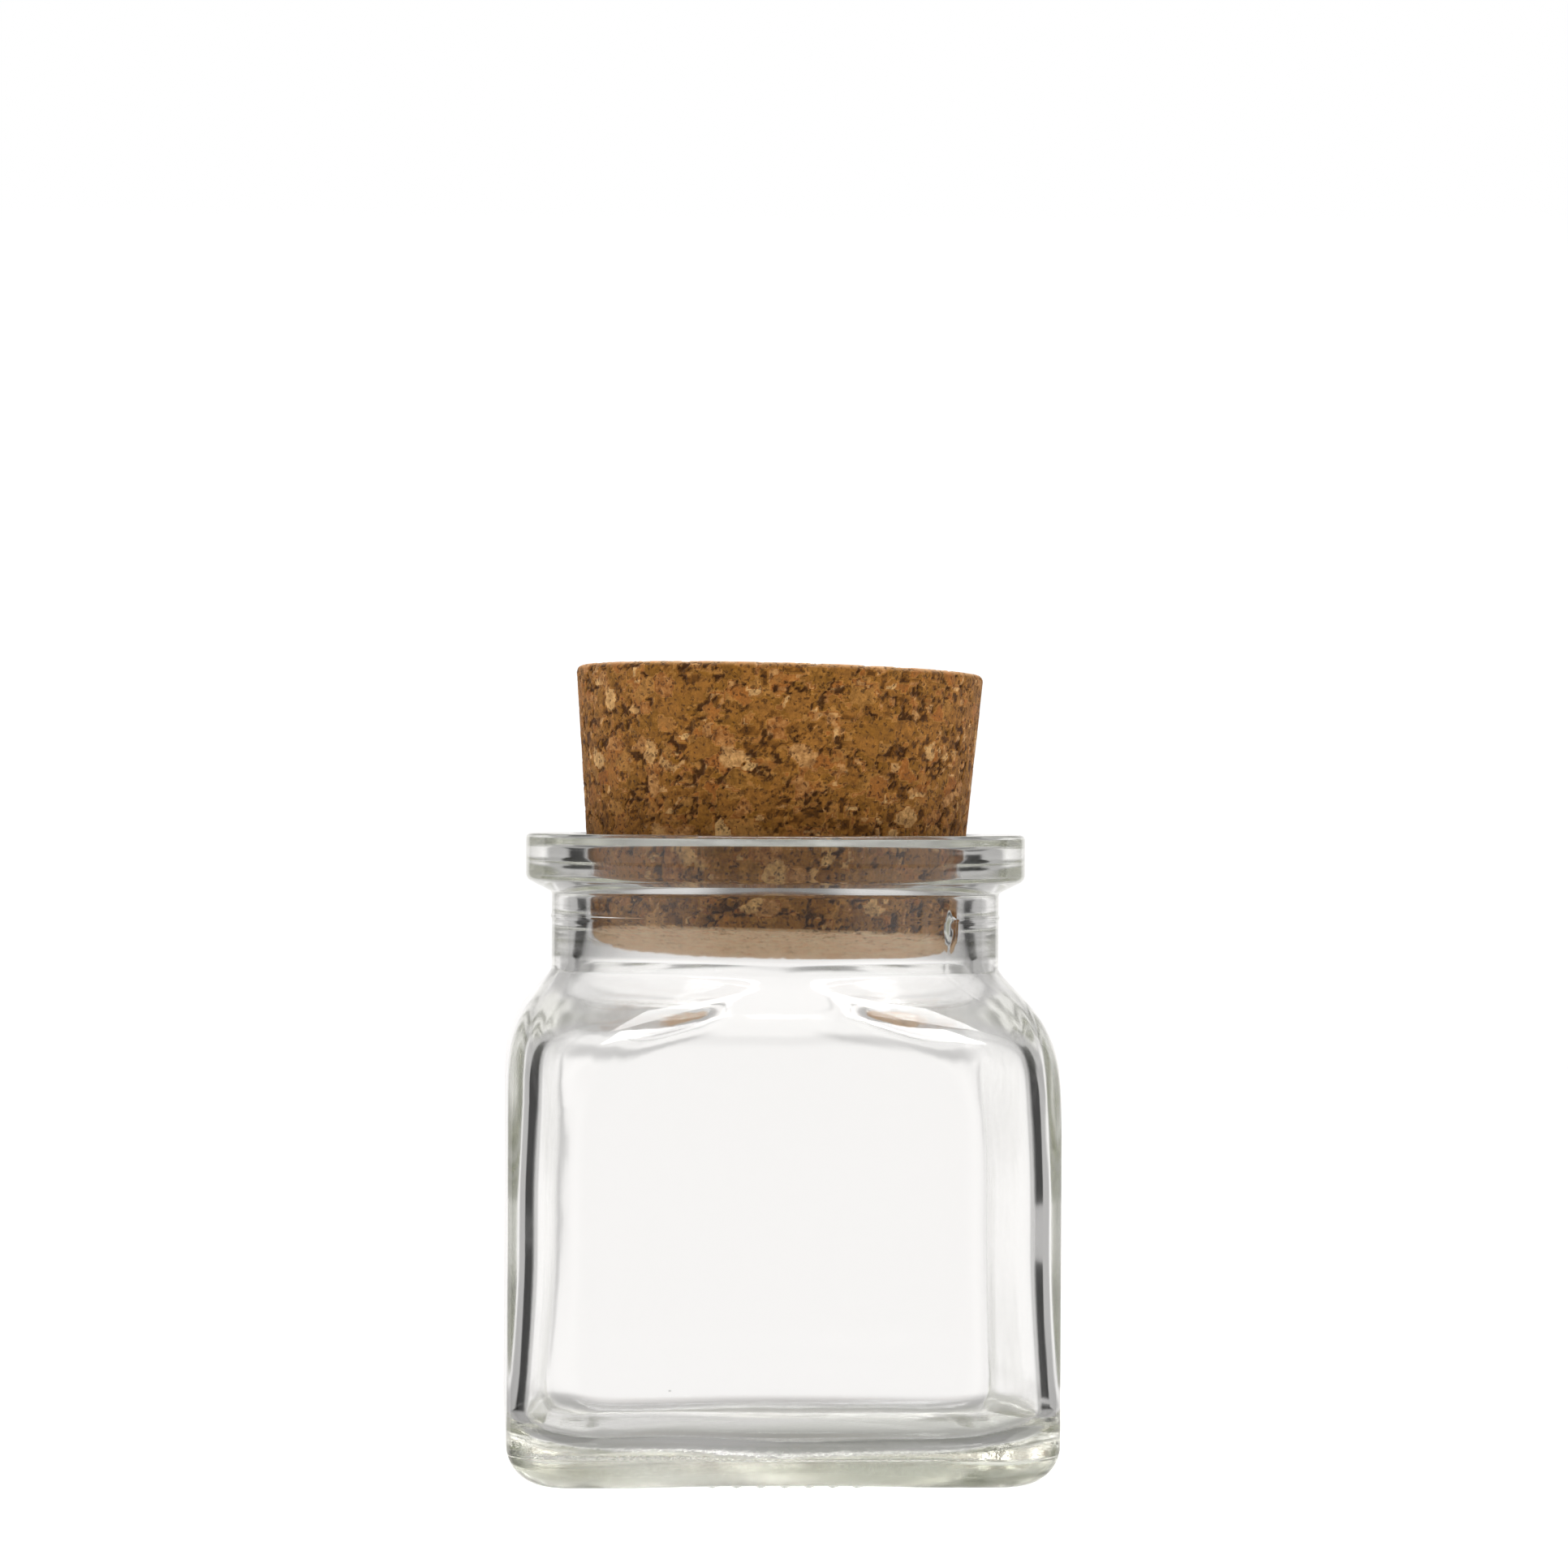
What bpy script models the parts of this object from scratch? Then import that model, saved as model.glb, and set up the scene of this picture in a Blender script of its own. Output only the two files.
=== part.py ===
"""Square glass jar with a tapered cork stopper, in metres, +Z up.

The jar stands on z = 0 and the axis of its neck is the Z axis. Its flat sides face +X, -X, +Y and -Y.
The stopper stands in the mouth, leaning a little, as a cork pushed in by hand does. It pulls out along +Z.
"""

import math

import bmesh
import bpy
from mathutils import Matrix, Vector

MM = 0.001

# Body of the jar
BODY_WIDTH = 51.6 * MM
BODY_CORNER_RADIUS = 6.3 * MM
HEEL_RADIUS = 3.9 * MM
SIDE_HEIGHT = 35.4 * MM
WALL = 2.3 * MM
BASE_THICKNESS = 3.3 * MM
INNER_HEEL_RADIUS = 3.0 * MM
BEARING_WIDTH = 2.4 * MM
PUSH_UP_SLOPE_WIDTH = 3.0 * MM
PUSH_UP_HEIGHT = 0.5 * MM

# Shoulder, which turns the square into the round neck
SHOULDER_HEIGHT = 12.1 * MM
CORNER_TURN_DROP = 4.5 * MM
SHOULDER_FULLNESS = 3.5
CORNER_FULLNESS = 2.6
FOOT_SOFTNESS = 1.45

# Neck and rim
MOUTH_BORE = 37.0 * MM
BORE_DEPTH = 7.9 * MM
NECK_WALL = 3.0 * MM
NECK_HEIGHT = 7.27 * MM
NECK_FILLET = 0.5 * MM
RIM_OVERHANG = 2.5 * MM
RIM_UNDERCUT_HEIGHT = 1.27 * MM
RIM_FACE_HEIGHT = 4.36 * MM
RIM_EDGE_RADIUS = 0.8 * MM
RIM_TOP_RADIUS = 0.9 * MM
MOUTH_RADIUS = 1.0 * MM

# Cork stopper
STOPPER_HEIGHT = 25.0 * MM
STOPPER_DEPTH = 9.3 * MM
STOPPER_TAPER = math.radians(4.9)
STOPPER_TOP_RADIUS = 0.6 * MM
STOPPER_BOTTOM_RADIUS = 0.4 * MM
STOPPER_LEAN = math.radians(1.8)
STOPPER_LEAN_AZIMUTH = math.radians(45.0)
SEAT_CLEARANCE = 0.3 * MM

# Fineness of the meshes
CORNER_STEPS = 14
FILLET_STEPS = 4
HEEL_STEPS = 5
SIDE_STEPS = 2
SHOULDER_STEPS = 10
NECK_STEPS = 3
STOPPER_STEPS = 60
SMALLEST_CORNER = 0.8 * MM
SHARP_ANGLE = math.radians(40.0)

# Places that follow from the sizes above
BODY_HALF = BODY_WIDTH / 2
BORE_RADIUS = MOUTH_BORE / 2
NECK_RADIUS = BORE_RADIUS + NECK_WALL
RIM_RADIUS = NECK_RADIUS + RIM_OVERHANG
NECK_FOOT = SIDE_HEIGHT + SHOULDER_HEIGHT
NECK_TOP = NECK_FOOT + NECK_HEIGHT
RIM_FOOT = NECK_TOP + RIM_UNDERCUT_HEIGHT
JAR_HEIGHT = RIM_FOOT + RIM_FACE_HEIGHT
BORE_FOOT = JAR_HEIGHT - BORE_DEPTH
CORNER_TURN_START = SIDE_HEIGHT - CORNER_TURN_DROP
SEAT_HEIGHT = JAR_HEIGHT - MOUTH_RADIUS

PARTS_COLLECTION = "corked_glass_jar"


def clear_scene():
    """Remove whatever the open file holds, so that the model stands alone."""
    for old in list(bpy.data.objects):
        bpy.data.objects.remove(old, do_unlink=True)


def make_material(name, colour, roughness, transmission, ior):
    """A plain Principled BSDF material."""
    material = bpy.data.materials.new(name)
    material.use_nodes = True
    shader = material.node_tree.nodes["Principled BSDF"]
    shader.inputs["Base Color"].default_value = (*colour, 1.0)
    shader.inputs["Metallic"].default_value = 0.0
    shader.inputs["Roughness"].default_value = roughness
    shader.inputs["Transmission Weight"].default_value = transmission
    shader.inputs["IOR"].default_value = ior
    material.diffuse_color = (*colour, 1.0)
    return material


def smoothstep(value, low, high):
    """0 below low, 1 above high, and an even S between them."""
    share = min(max((value - low) / (high - low), 0.0), 1.0)
    return share * share * (3.0 - 2.0 * share)


def rounded_path(corners, steps):
    """A line through corners (x, z, radius), each corner turned into an arc of its radius."""
    path = [Vector(corners[0][:2])]
    for before, corner, after in zip(corners, corners[1:], corners[2:]):
        point = Vector(corner[:2])
        back = Vector(before[:2]) - point
        ahead = Vector(after[:2]) - point
        half_angle = back.angle(ahead) / 2
        room = 0.49 * min(back.length, ahead.length)
        reach = min(corner[2] / math.tan(half_angle), room)
        radius = reach * math.tan(half_angle)
        middle = (back.normalized() + ahead.normalized()).normalized()
        centre = point + middle * (radius / math.sin(half_angle))
        start = point + back.normalized() * reach - centre
        end = point + ahead.normalized() * reach - centre
        turn = start.angle_signed(end)
        for step in range(steps + 1):
            path.append(centre + Matrix.Rotation(-turn * step / steps, 2) @ start)
    path.append(Vector(corners[-1][:2]))
    return [tuple(point) for point in path]


def turn_in(z, start, fullness):
    """1 at the start, 0 at the neck's foot: slow at first, then fast, and soft again at the end."""
    rise = min(max((z - start) / (NECK_FOOT - start), 0.0), 1.0)
    return (1.0 - rise**fullness) ** FOOT_SOFTNESS


def outer_half_width(z):
    """Half the jar's outer width between its flat sides, with the rim left off."""
    return NECK_RADIUS + (BODY_HALF - NECK_RADIUS) * turn_in(z, SIDE_HEIGHT, SHOULDER_FULLNESS)


def section_corner_radius(half_width, z):
    """Corner radius of the section at height z: the body's own low down, a full circle on the neck.

    A section inside the outer one keeps even distance from it, so its corners are tighter.
    """
    squareness = turn_in(z, CORNER_TURN_START, CORNER_FULLNESS)
    outer = NECK_RADIUS - (NECK_RADIUS - BODY_CORNER_RADIUS) * squareness
    outer = min(outer, outer_half_width(z))
    inset = outer_half_width(z) - half_width
    return min(max(outer - inset, SMALLEST_CORNER), half_width)


def section_points(half_width, z):
    """One ring of points: a square with rounded corners, or a circle where the radius is the half width.

    Each arc is a row of chords that touch it at their middles, so the flats lie at half_width exactly.
    """
    radius = section_corner_radius(half_width, z)
    step = math.pi / 2 / CORNER_STEPS
    vertex_radius = radius / math.cos(step / 2)
    points = []
    for quadrant in range(4):
        middle = (quadrant + 0.5) * math.pi / 2
        centre_x = math.copysign(half_width - radius, math.cos(middle))
        centre_y = math.copysign(half_width - radius, math.sin(middle))
        for index in range(CORNER_STEPS):
            angle = quadrant * math.pi / 2 + (index + 0.5) * step
            x = centre_x + vertex_radius * math.cos(angle)
            y = centre_y + vertex_radius * math.sin(angle)
            points.append((x, y, z))
    return points


def wall_at(z):
    """Glass thickness at height z: the neck's wall beside the bore, thinning into the shoulder's."""
    return WALL + (NECK_WALL - WALL) * smoothstep(z, NECK_FOOT, BORE_FOOT)


def inner_point(z):
    """The inner wall's (half width, height) square to the outer wall at height z."""
    probe = 0.05 * MM
    slope = (outer_half_width(z + probe) - outer_half_width(z - probe)) / (2 * probe)
    length = math.hypot(1.0, slope)
    wall = wall_at(z)
    return outer_half_width(z) - wall / length, z + wall * slope / length


def base_and_heel():
    """From the recess under the base, out over the bearing ring and round the heel to the side."""
    bearing_edge = BODY_HALF - HEEL_RADIUS
    recess_foot = bearing_edge - BEARING_WIDTH
    recess_top = recess_foot - PUSH_UP_SLOPE_WIDTH
    heel = []
    for index in range(HEEL_STEPS + 1):
        angle = index / HEEL_STEPS * math.pi / 2
        half_width = bearing_edge + HEEL_RADIUS * math.sin(angle)
        heel.append((half_width, HEEL_RADIUS * (1.0 - math.cos(angle))))
    return [(recess_top, PUSH_UP_HEIGHT), (recess_foot, 0.0)] + heel


def side_heights():
    """Heights of the rings between the heel and the neck."""
    low = [
        CORNER_TURN_START + (SIDE_HEIGHT - CORNER_TURN_START) * index / SIDE_STEPS
        for index in range(SIDE_STEPS)
    ]
    high = [SIDE_HEIGHT + SHOULDER_HEIGHT * index / SHOULDER_STEPS for index in range(SHOULDER_STEPS + 1)]
    return low + high


def rim_and_mouth():
    """From the neck, round the undercut rim and its flat top, into the bore."""
    corners = [
        (NECK_RADIUS, NECK_FOOT + NECK_HEIGHT / 2, 0.0),
        (NECK_RADIUS, NECK_TOP, NECK_FILLET),
        (RIM_RADIUS, RIM_FOOT, RIM_EDGE_RADIUS),
        (RIM_RADIUS, JAR_HEIGHT, RIM_TOP_RADIUS),
        (BORE_RADIUS, JAR_HEIGHT, MOUTH_RADIUS),
        (BORE_RADIUS, BORE_FOOT, 0.0),
    ]
    return rounded_path(corners, FILLET_STEPS)


def inner_side_and_floor():
    """From the foot of the bore, down the inner wall and round the inner heel to the floor."""
    neck = [BORE_FOOT + (NECK_FOOT - BORE_FOOT) * index / NECK_STEPS for index in range(1, NECK_STEPS)]
    wall = [inner_point(z) for z in neck + side_heights()[::-1]]
    floor_edge = BODY_HALF - WALL - INNER_HEEL_RADIUS
    for index in range(HEEL_STEPS + 1):
        angle = index / HEEL_STEPS * math.pi / 2
        half_width = floor_edge + INNER_HEEL_RADIUS * math.cos(angle)
        wall.append((half_width, BASE_THICKNESS + INNER_HEEL_RADIUS * (1.0 - math.sin(angle))))
    return wall


def loft(rings):
    """A closed mesh through rings of equal count, with a flat cap on the first and on the last."""
    shape = bmesh.new()
    rows = [[shape.verts.new(point) for point in ring] for ring in rings]
    for lower, upper in zip(rows, rows[1:]):
        for index in range(len(lower)):
            ahead = (index + 1) % len(lower)
            shape.faces.new((lower[index], lower[ahead], upper[ahead], upper[index]))
    shape.faces.new(rows[0][::-1])
    shape.faces.new(rows[-1])
    bmesh.ops.recalc_face_normals(shape, faces=shape.faces)
    return shape


def finish_mesh(shape, name):
    """Turn a bmesh into a mesh that is shaded smooth between its sharp edges."""
    mesh = bpy.data.meshes.new(name)
    shape.to_mesh(mesh)
    shape.free()
    mesh.shade_smooth()
    mesh.set_sharp_from_angle(angle=SHARP_ANGLE)
    return mesh


def add_part(collection, name, mesh, material):
    """Put a mesh into the collection as one named sub-part with its material."""
    mesh.materials.append(material)
    part = bpy.data.objects.new(name, mesh)
    collection.objects.link(part)
    return part


def make_jar(collection, material):
    """The jar: one wall of glass, outside and inside, joined over the rim and open at the mouth."""
    profile = base_and_heel()
    profile += [(outer_half_width(z), z) for z in side_heights()]
    profile += rim_and_mouth() + inner_side_and_floor()
    rings = [section_points(half_width, z) for half_width, z in profile]
    return add_part(collection, "glass_jar", finish_mesh(loft(rings), "glass_jar"), material)


def stopper_radius(height):
    """Radius of the stopper at a height along its own axis above the seat in the mouth."""
    return (BORE_RADIUS - SEAT_CLEARANCE) * math.cos(STOPPER_LEAN) + height * math.tan(STOPPER_TAPER)


def make_stopper(collection, material):
    """The stopper: a turned, tapered plug. Its origin is on the neck's axis, in the mouth's seat."""
    bottom = JAR_HEIGHT - STOPPER_DEPTH - SEAT_HEIGHT
    top = bottom + STOPPER_HEIGHT
    corners = [
        (0.0, top, 0.0),
        (stopper_radius(top), top, STOPPER_TOP_RADIUS),
        (stopper_radius(bottom), bottom, STOPPER_BOTTOM_RADIUS),
        (0.0, bottom, 0.0),
    ]
    path = rounded_path(corners, FILLET_STEPS)
    mesh = bpy.data.meshes.new("cork_stopper")
    edges = [(index, index + 1) for index in range(len(path) - 1)]
    mesh.from_pydata([(x, 0.0, z) for x, z in path], edges, [])
    stopper = add_part(collection, "cork_stopper", mesh, material)
    turn = stopper.modifiers.new("turn", "SCREW")
    turn.axis = "Z"
    turn.angle = 2 * math.pi
    turn.steps = STOPPER_STEPS
    turn.render_steps = STOPPER_STEPS
    turn.use_merge_vertices = True
    turn.merge_threshold = 0.00001
    turn.use_smooth_shade = True
    stopper.location = (0.0, 0.0, SEAT_HEIGHT)
    lean_axis = (-math.sin(STOPPER_LEAN_AZIMUTH), math.cos(STOPPER_LEAN_AZIMUTH), 0.0)
    stopper.rotation_euler = Matrix.Rotation(STOPPER_LEAN, 3, lean_axis).to_euler()
    return stopper


def main():
    """Build the jar and its stopper in a collection of their own."""
    clear_scene()
    collection = bpy.data.collections.new(PARTS_COLLECTION)
    bpy.context.scene.collection.children.link(collection)
    glass = make_material("clear_glass", (0.93, 0.96, 0.95), 0.03, 1.0, 1.52)
    cork = make_material("cork_granules", (0.40, 0.22, 0.09), 0.85, 0.0, 1.4)
    make_jar(collection, glass)
    make_stopper(collection, cork)


main()
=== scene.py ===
# %% [markdown]
# # A square glass jar with a cork
#
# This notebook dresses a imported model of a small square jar: clear moulded glass with a round neck,
# and a tapered stopper pressed from cork granules. The model already has the right sizes and one
# sliding joint, so the cells below only make what the eye sees: a fine glass wall with its small
# faults, a cork with real granules and gaps, and a bright studio round both.

# %% The frame
import math

import bpy
import numpy as np
from mathutils import Matrix, Vector


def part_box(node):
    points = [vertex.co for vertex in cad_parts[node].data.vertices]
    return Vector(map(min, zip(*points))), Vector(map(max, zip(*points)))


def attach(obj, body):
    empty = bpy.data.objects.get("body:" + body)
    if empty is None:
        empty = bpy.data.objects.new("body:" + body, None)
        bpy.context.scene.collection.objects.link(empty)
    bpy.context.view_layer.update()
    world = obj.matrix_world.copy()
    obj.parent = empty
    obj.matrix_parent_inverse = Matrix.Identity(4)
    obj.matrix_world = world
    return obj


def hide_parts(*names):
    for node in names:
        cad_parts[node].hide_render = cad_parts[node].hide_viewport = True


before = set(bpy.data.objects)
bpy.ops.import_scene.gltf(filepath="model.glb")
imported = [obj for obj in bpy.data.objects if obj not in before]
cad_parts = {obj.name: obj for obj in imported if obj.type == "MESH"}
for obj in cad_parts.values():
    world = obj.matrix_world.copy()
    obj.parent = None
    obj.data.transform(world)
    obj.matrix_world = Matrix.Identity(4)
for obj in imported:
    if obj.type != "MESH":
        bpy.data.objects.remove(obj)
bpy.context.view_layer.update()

MM = 0.001
scene = bpy.context.scene

# %% [markdown]
# ## Sizes
#
# All lengths below are in millimetres, because that is how a glass maker draws a jar. The frame
# gives the sizes that must not change, the width of the body and the height of the rim. The others
# are the drawing's own, and each is written once.

# %% Sizes of the jar
jar_low, jar_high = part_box("glass_jar")
BODY_HALF = jar_high.x / MM
JAR_HEIGHT = jar_high.z / MM
BODY_CORNER = 6.3
HEEL_RADIUS = 3.9
SIDE_HEIGHT = 35.4
SHOULDER_HEIGHT = 12.1
SHOULDER_FULLNESS = 3.5
SHOULDER_FOOT_SOFTNESS = 1.45
CORNER_TURN_DROP = 4.5
CORNER_FULLNESS = 2.6
CORNER_FOOT_SOFTNESS = 1.3
NECK_RADIUS = 21.5
NECK_HEIGHT = 7.27
NECK_FILLET = 0.5
RIM_RADIUS = 24.0
RIM_UNDERCUT_HEIGHT = 1.27
RIM_EDGE_RADIUS = 0.8
RIM_TOP_RADIUS = 0.5
MOUTH_WIDTH = 1.35
MOUTH_DEPTH = 1.2
MOUTH_TOP_RADIUS = 0.9
MOUTH_FOOT_RADIUS = 0.7
MOUTH_GROOVE = 0.5
GROOVE_TOP = 58.0
GROOVE_DEEPEST = 56.2
GROOVE_FOOT = 54.4
BORE_RADIUS = 18.5
BORE_TOP = 58.4
BORE_NARROWS = 57.0
NECK_WALL = 3.25
BORE_DEPTH = 7.9
NECK_FOOT = SIDE_HEIGHT + SHOULDER_HEIGHT
NECK_TOP = NECK_FOOT + NECK_HEIGHT
RIM_FOOT = NECK_TOP + RIM_UNDERCUT_HEIGHT
BORE_FOOT = JAR_HEIGHT - BORE_DEPTH
print(f"body {2 * BODY_HALF:.1f} mm wide, rim {2 * RIM_RADIUS:.1f} mm, glass {JAR_HEIGHT:.1f} mm high")

# %% [markdown]
# ## Helpers for grids
#
# A blown jar is one skin of glass. The plain way to make it is a loft: rings of points, one above
# the other, joined by four-sided faces. Each ring is a row of a grid and each upright line is a
# column, so the whole jar is two arrays and no loop walks over its points.

# %% Smooth steps, noise and meshes
LATTICE = 32
LATTICE_SHIFT = 1000.0


def smoothstep(value, low, high):
    """0 below low, 1 above high, and 3t^2 - 2t^3 of the share t between them."""
    share = np.clip((value - low) / (high - low), 0.0, 1.0)
    return share * share * (3.0 - 2.0 * share)


def soft_noise(points, size, seed):
    """Smooth noise from -1 to 1: random numbers on a cubic lattice of that size, blended between corners."""
    lattice = np.random.default_rng(seed).uniform(-1.0, 1.0, (LATTICE,) * 3)
    place = points / size + LATTICE_SHIFT
    cell = np.floor(place).astype(int)
    share = place - cell
    share = share * share * (3.0 - 2.0 * share)
    total = np.zeros(points.shape[:-1])
    for corner in np.ndindex(2, 2, 2):
        weight = np.prod(np.where(corner, share, 1.0 - share), axis=-1)
        x, y, z = np.moveaxis((cell + corner) % LATTICE, -1, 0)
        total += weight * lattice[x, y, z]
    return total


def signed_volume(points, faces):
    """Sum over the faces of corner . (corner x corner) / 6, which is positive when they point outwards."""
    a, b, c = points[faces[:, 0]], points[faces[:, 1]], points[faces[:, 2]]
    total = np.einsum("ij,ij->", a, np.cross(b, c))
    if faces.shape[1] == 4:
        total += np.einsum("ij,ij->", a, np.cross(c, points[faces[:, 3]]))
    return total / 6.0


def grid_faces(rows, columns):
    """The faces between neighbouring rows of a grid whose columns close into rings."""
    index = np.arange(rows * columns).reshape(rows, columns)
    ahead = np.roll(index, -1, axis=1)
    return np.stack([index[:-1], ahead[:-1], ahead[1:], index[1:]], axis=-1).reshape(-1, 4)


def make_piece(name, points, quads, triangles, material):
    """A mesh object at the origin from points in millimetres and its four- and three-sided faces."""
    mesh = bpy.data.meshes.new(name)
    corners = np.concatenate([quads.ravel(), triangles.ravel()])
    sizes = np.repeat([4, 3], [len(quads), len(triangles)])
    starts = np.cumsum(sizes) - sizes
    mesh.vertices.add(len(points))
    mesh.vertices.foreach_set("co", (points * MM).astype(np.float32).ravel())
    mesh.loops.add(len(corners))
    mesh.loops.foreach_set("vertex_index", corners.astype(np.int32))
    mesh.polygons.add(len(sizes))
    mesh.polygons.foreach_set("loop_start", starts.astype(np.int32))
    mesh.polygons.foreach_set("use_smooth", np.ones(len(sizes), bool))
    mesh.update(calc_edges=True)
    mesh.validate()
    mesh.materials.append(material)
    piece = bpy.data.objects.new(name, mesh)
    scene.collection.objects.link(piece)
    print(f"{name}: {len(points)} points, {2 * len(quads) + len(triangles)} triangles")
    return piece


# %% [markdown]
# ## Shader graphs
#
# Materials here are worked out from place, not from pictures. Writing node trees by hand hides the
# arithmetic, so a small class wraps a socket: `height * 2 + noise` then adds the two Math nodes by
# itself. Everything else, such as a texture or a ramp, is added by one method.

# %% Sockets that take part in arithmetic
class Signal:
    """A socket of a node tree that Python's arithmetic signs work on, each adding a Math node."""

    def __init__(self, graph, socket):
        self.graph = graph
        self.socket = socket

    def math(self, operation, *others):
        """A Math node with this signal first."""
        return self.graph.add("Math", {"operation": operation}, dict(enumerate((self, *others))))

    def __add__(self, other):
        return self.math("ADD", other)

    def __sub__(self, other):
        return self.math("SUBTRACT", other)

    def __mul__(self, other):
        return self.math("MULTIPLY", other)

    def __rsub__(self, other):
        return self.graph.add("Math", {"operation": "SUBTRACT"}, {0: other, 1: self})

    __radd__ = __add__
    __rmul__ = __mul__

    def between(self, low, high):
        """0 below low and 1 above high, with a smooth rise between."""
        settings = {"interpolation_type": "SMOOTHSTEP"}
        return self.graph.add("MapRange", settings, {"Value": self, "From Min": low, "From Max": high})


class Graph:
    """The node tree of one material or world, with one way to add a node."""

    def __init__(self, owner):
        owner.use_nodes = True
        self.tree = owner.node_tree
        self.tree.nodes.clear()

    def add(self, kind, settings=None, values=None, output=0):
        """Add a node: its settings are set first, then its sockets take numbers, colours or signals."""
        node = self.tree.nodes.new("ShaderNode" + kind)
        for name, setting in (settings or {}).items():
            if name == "stops":
                self.set_stops(node.color_ramp, setting)
            else:
                setattr(node, name, setting)
        for name, value in (values or {}).items():
            if isinstance(value, Signal):
                self.tree.links.new(value.socket, node.inputs[name])
            else:
                node.inputs[name].default_value = value
        return Signal(self, node.outputs[output]) if node.outputs else node

    @staticmethod
    def set_stops(ramp, stops):
        """Give a colour ramp its stops, each a place from 0 to 1 and a colour."""
        while len(ramp.elements) < len(stops):
            ramp.elements.new(1.0)
        for element, (place, colour) in zip(ramp.elements, stops):
            element.position = place
            element.color = (*colour, 1.0)

    def mix(self, factor, first, second, blend="MIX"):
        """A colour between two colours, or one laid on the other."""
        settings = {"data_type": "RGBA", "blend_type": blend}
        return self.add("Mix", settings, {0: factor, 6: first, 7: second}, output=2)

    def grey(self, level):
        """A grey of a level from 0 to 1."""
        return self.add("CombineColor", None, {0: level, 1: level, 2: level})

    def place_in_mm(self, stretch=(1.0, 1.0, 1.0)):
        """The place on the piece in millimetres, stretched per axis where a pattern has a grain."""
        where = self.add("TexCoord", output="Object")
        scale = tuple(share / MM for share in stretch)
        return self.add("Mapping", None, {"Vector": where, "Scale": scale})


def new_material(name):
    """A material with an empty node tree."""
    material = bpy.data.materials.new(name)
    return material, Graph(material)


print("shader helpers ready")

# %% [markdown]
# ## The outside of the jar
#
# Low down a section through the jar is a square with rounded corners, and in the neck it is a
# circle. A circle is only a rounded square whose corner radius has grown to half its width, so one
# formula gives every ring: the distance from the axis to a rounded square, seen at an angle.

# %% Rings
def ring_radius(angle, half, corner):
    """Distance from the axis to a rounded square of that half width and corner radius.

    On a flat side it is half / cos(angle from the side's middle). On a corner it is the far root of
    r^2 - 2 r k + 2 d^2 - corner^2 = 0, with d = half - corner and k the corner centre's reach along the ray.
    """
    from_diagonal = np.abs(np.mod(angle, math.pi / 2) - math.pi / 4)
    from_side = math.pi / 4 - from_diagonal
    inset = half - corner
    along = inset * math.sqrt(2.0) * np.cos(from_diagonal)
    on_corner = along + np.sqrt(np.maximum(along**2 - 2.0 * inset**2 + corner**2, 0.0))
    on_flat = half / np.cos(from_side)
    return np.where(np.tan(from_side) * half > inset, on_corner, on_flat)


def column_angles(nub_steps=25, flat_steps=7, corner_steps=30):
    """Angles of the columns round a quarter, four times: close where nubs and corners need it."""
    nub_end = math.radians(19.5)
    corner_start = math.radians(35.0)
    corner_half = math.pi / 4 - corner_start
    share = np.linspace(-1.0, 1.0, corner_steps + 1)
    quarter = np.concatenate([
        np.linspace(0.0, nub_end, nub_steps, endpoint=False),
        np.linspace(nub_end, corner_start, flat_steps, endpoint=False),
        math.pi / 4 + corner_half * (0.6 * share + 0.4 * share**3),
    ])
    mirrored = math.pi / 2 - quarter[1 : nub_steps + flat_steps][::-1]
    quarter = np.concatenate([quarter, mirrored])
    return (quarter + np.arange(4)[:, None] * math.pi / 2).ravel()


def softened(angle, half, corner, step=math.radians(2.4)):
    """The ring's radius averaged over five nearby angles, with weights 1 2 3 2 1: corners begin softly."""
    total = 0.0
    for shift in range(-2, 3):
        total = total + (3 - abs(shift)) * ring_radius(angle + shift * step, half, corner)
    return total / 9.0


COLUMNS = column_angles()
print(f"{len(COLUMNS)} columns round the jar")

# %% [markdown]
# The shoulder is what makes this jar recognisable. Its sides lean in slowly and then fast, while
# the corners open out until they meet as a circle. Two powers draw that: one for the lean, one
# for the corner radius, both of the height.

# %% Outline of the outer wall
def outer_half(height):
    """Half width of the wall: the body's, then the neck's plus the rest times (1 - rise^a)^b."""
    rise = np.clip((height - SIDE_HEIGHT) / SHOULDER_HEIGHT, 0.0, 1.0)
    share = (1.0 - rise**SHOULDER_FULLNESS) ** SHOULDER_FOOT_SOFTNESS
    return NECK_RADIUS + (BODY_HALF - NECK_RADIUS) * share


def outer_corner(height):
    """Corner radius of the wall: the full circle's less the rest times (1 - rise^a)^b."""
    start = SIDE_HEIGHT - CORNER_TURN_DROP
    rise = np.clip((height - start) / (NECK_FOOT - start), 0.0, 1.0)
    share = (1.0 - rise**CORNER_FULLNESS) ** CORNER_FOOT_SOFTNESS
    return np.minimum(NECK_RADIUS - (NECK_RADIUS - BODY_CORNER) * share, outer_half(height))


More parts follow.
